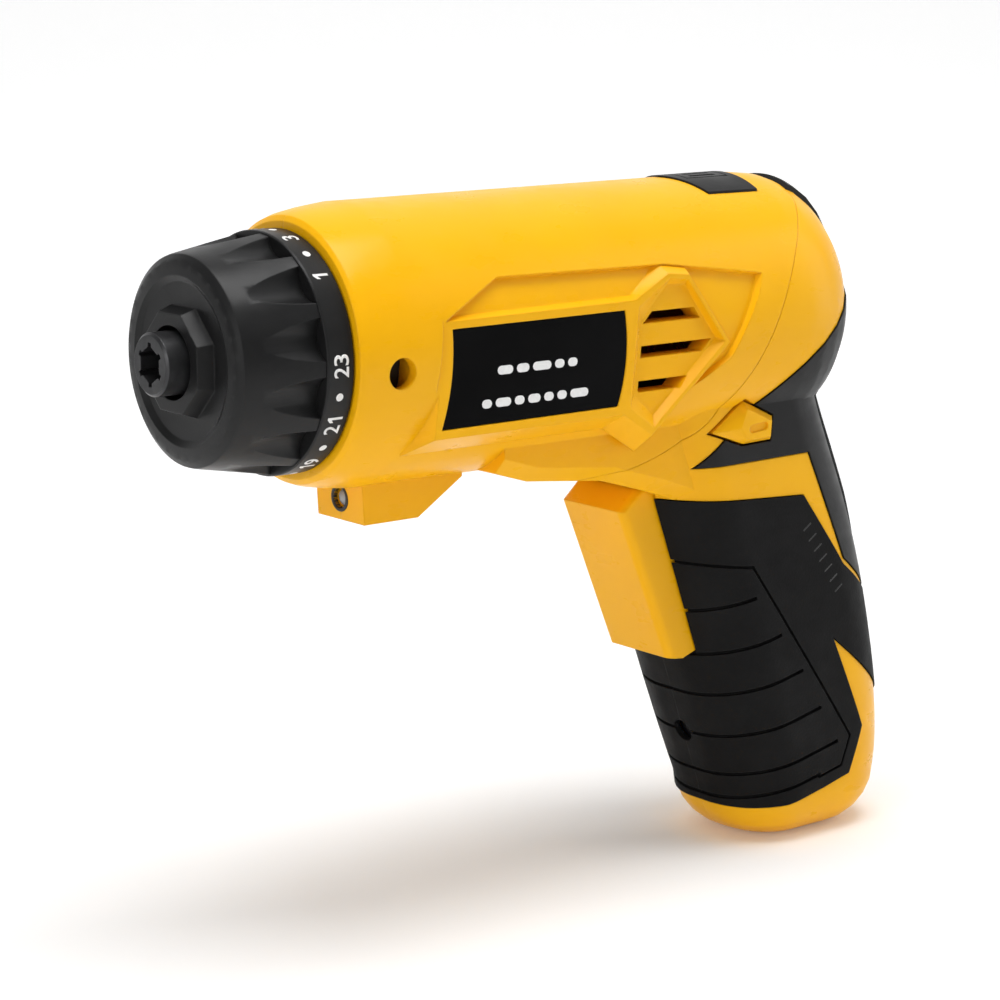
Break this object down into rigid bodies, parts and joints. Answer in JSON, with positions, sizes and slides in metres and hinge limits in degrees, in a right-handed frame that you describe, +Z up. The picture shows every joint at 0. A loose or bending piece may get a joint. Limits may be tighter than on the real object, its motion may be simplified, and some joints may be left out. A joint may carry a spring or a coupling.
{
  "type": "cordless screwdriver",
  "caption": "Pistol-grip cordless screwdriver with a fluted torque collar, planetary gearbox, trigger, direction selector and ribbed soft grip.",
  "frame": {"origin": "centre of the bit socket's mouth, on the spindle axis", "axes": "+X out of the nose along the spindle, +Z up, +Y to the tool's left side"},
  "size_m": [0.1843, 0.0516, 0.147],
  "materials": {
    "yellow_shell": "satin moulded plastic",
    "black_panel": "satin black plastic",
    "soft_grip": "soft matt grip",
    "dial_black": "fine satin black with white numbers",
    "label_black": "gloss black plate",
    "blackened_steel": "black oxide steel",
    "bright_steel": "turned steel",
    "spring_steel": "drawn wire",
    "bronze": "sintered bronze",
    "gear_nylon": "white nylon",
    "can_steel": "zinc plated",
    "magnet": "sintered magnet",
    "black_moulding": "plain moulding",
    "cell_wrap": "shrink wrap",
    "board_green": "circuit board",
    "lamp": "clear lens",
    "wire_red": "insulated lead"
  },
  "bodies": {
    "casing": {"head_shell_left": "yellow_shell", "head_shell_right": "yellow_shell", "handle_shell_left": "yellow_shell", "handle_shell_right": "yellow_shell", "rear_panel_left": "black_panel", "rear_panel_right": "black_panel", "back_spine": "black_panel", "rear_plug": "black_panel", "grip_left": "soft_grip", "grip_right": "soft_grip", "label_plate_left": "label_black", "label_plate_right": "label_black", "top_trim": "black_panel", "top_button_spring": "spring_steel", "case_screws": "blackened_steel", "clutch_washer": "bright_steel", "clutch_balls": "bright_steel", "clutch_spring": "spring_steel", "spindle_bush": "bronze", "gearbox_housing": "black_moulding", "ring_gear_output": "black_moulding", "ring_gear_input": "gear_nylon", "motor_plate": "can_steel", "motor_screws": "blackened_steel", "motor_can": "can_steel", "motor_magnets": "magnet", "motor_end_cap": "black_moulding", "motor_terminals": "bright_steel", "trigger_spring": "spring_steel", "switch_body": "black_moulding", "reversing_switch": "black_moulding", "battery_cell": "cell_wrap", "battery_contacts": "bright_steel", "charge_jack": "black_moulding", "charge_pin": "bright_steel", "work_light_led": "lamp", "control_board": "board_green", "motor_leads": "wire_red", "battery_leads": "wire_red"},
    "collar": {"collar_cap": "dial_black", "number_ring": "dial_black"},
    "nut": {"clutch_nut": "black_moulding"},
    "spindle": {"bit_holder": "blackened_steel", "bit_magnet": "bright_steel", "bit_snap_ring": "spring_steel", "output_carrier": "bright_steel"},
    "first_carrier": {"input_carrier": "bright_steel"},
    "armature": {"rotor": "bright_steel", "motor_pinion": "bright_steel"},
    "trigger": {"trigger": "yellow_shell", "switch_plunger": "black_moulding"},
    "selector": {"direction_selector": "yellow_shell"},
    "button": {"top_button": "black_panel"},
    "output_planet_1": {"planet_output_1": "bright_steel"},
    "output_planet_2": {"planet_output_2": "bright_steel"},
    "output_planet_3": {"planet_output_3": "bright_steel"},
    "input_planet_1": {"planet_input_1": "gear_nylon"},
    "input_planet_2": {"planet_input_2": "gear_nylon"},
    "input_planet_3": {"planet_input_3": "gear_nylon"}
  },
  "joints": [
    {"name": "collar_turn", "type": "hinge", "parent": "casing", "child": "collar", "pos_m": [0, 0, 0], "axis": [1, 0, 0], "range_deg": [-273.6, 43.2]},
    {"name": "nut_travel", "type": "slide", "parent": "collar", "child": "nut", "axis": [1, 0, 0], "range_m": [-0.0046, 0.00076], "deforming": ["clutch_spring"]},
    {"name": "spindle_spin", "type": "hinge", "parent": "casing", "child": "spindle", "pos_m": [0, 0, 0], "axis": [1, 0, 0], "continuous": true},
    {"name": "first_carrier_spin", "type": "hinge", "parent": "casing", "child": "first_carrier", "pos_m": [-0.047, 0, 0], "axis": [1, 0, 0], "continuous": true},
    {"name": "armature_spin", "type": "hinge", "parent": "casing", "child": "armature", "pos_m": [-0.07, 0, 0], "axis": [1, 0, 0], "continuous": true},
    {"name": "planet_output_1_spin", "type": "hinge", "parent": "spindle", "child": "output_planet_1", "pos_m": [-0.0418, 0, 0.00877], "axis": [1, 0, 0], "continuous": true},
    {"name": "planet_output_2_spin", "type": "hinge", "parent": "spindle", "child": "output_planet_2", "pos_m": [-0.0418, -0.0076, -0.00439], "axis": [1, 0, 0], "continuous": true},
    {"name": "planet_output_3_spin", "type": "hinge", "parent": "spindle", "child": "output_planet_3", "pos_m": [-0.0418, 0.0076, -0.00439], "axis": [1, 0, 0], "continuous": true},
    {"name": "planet_input_1_spin", "type": "hinge", "parent": "first_carrier", "child": "input_planet_1", "pos_m": [-0.0522, 0, 0.00877], "axis": [1, 0, 0], "continuous": true},
    {"name": "planet_input_2_spin", "type": "hinge", "parent": "first_carrier", "child": "input_planet_2", "pos_m": [-0.0522, -0.0076, -0.00439], "axis": [1, 0, 0], "continuous": true},
    {"name": "planet_input_3_spin", "type": "hinge", "parent": "first_carrier", "child": "input_planet_3", "pos_m": [-0.0522, 0.0076, -0.00439], "axis": [1, 0, 0], "continuous": true},
    {"name": "trigger_pull", "type": "slide", "parent": "casing", "child": "trigger", "axis": [-0.9397, 0, 0.342], "range_m": [0, 0.004], "stiffness_N_per_m": 900, "springref_m": -0.001, "deforming": ["trigger_spring"]},
    {"name": "selector_slide", "type": "slide", "parent": "casing", "child": "selector", "axis": [0, 1, 0], "range_m": [-0.0025, 0.0025]},
    {"name": "button_press", "type": "slide", "parent": "casing", "child": "button", "axis": [0, 0, -1], "range_m": [0, 0.001], "stiffness_N_per_m": 600, "springref_m": -0.0005, "deforming": ["top_button_spring"]}
  ],
  "couplings": [
    {"joint": "nut_travel", "follows": "collar_turn", "m_per_rad": 0.00095493},
    {"joint": "first_carrier_spin", "follows": "armature_spin", "ratio": 0.16667},
    {"joint": "spindle_spin", "follows": "armature_spin", "ratio": 0.027778},
    {"joint": "planet_output_1_spin", "follows": "armature_spin", "ratio": -0.069444},
    {"joint": "planet_output_2_spin", "follows": "armature_spin", "ratio": -0.069444},
    {"joint": "planet_output_3_spin", "follows": "armature_spin", "ratio": -0.069444},
    {"joint": "planet_input_1_spin", "follows": "armature_spin", "ratio": -0.41667},
    {"joint": "planet_input_2_spin", "follows": "armature_spin", "ratio": -0.41667},
    {"joint": "planet_input_3_spin", "follows": "armature_spin", "ratio": -0.41667}
  ]
}
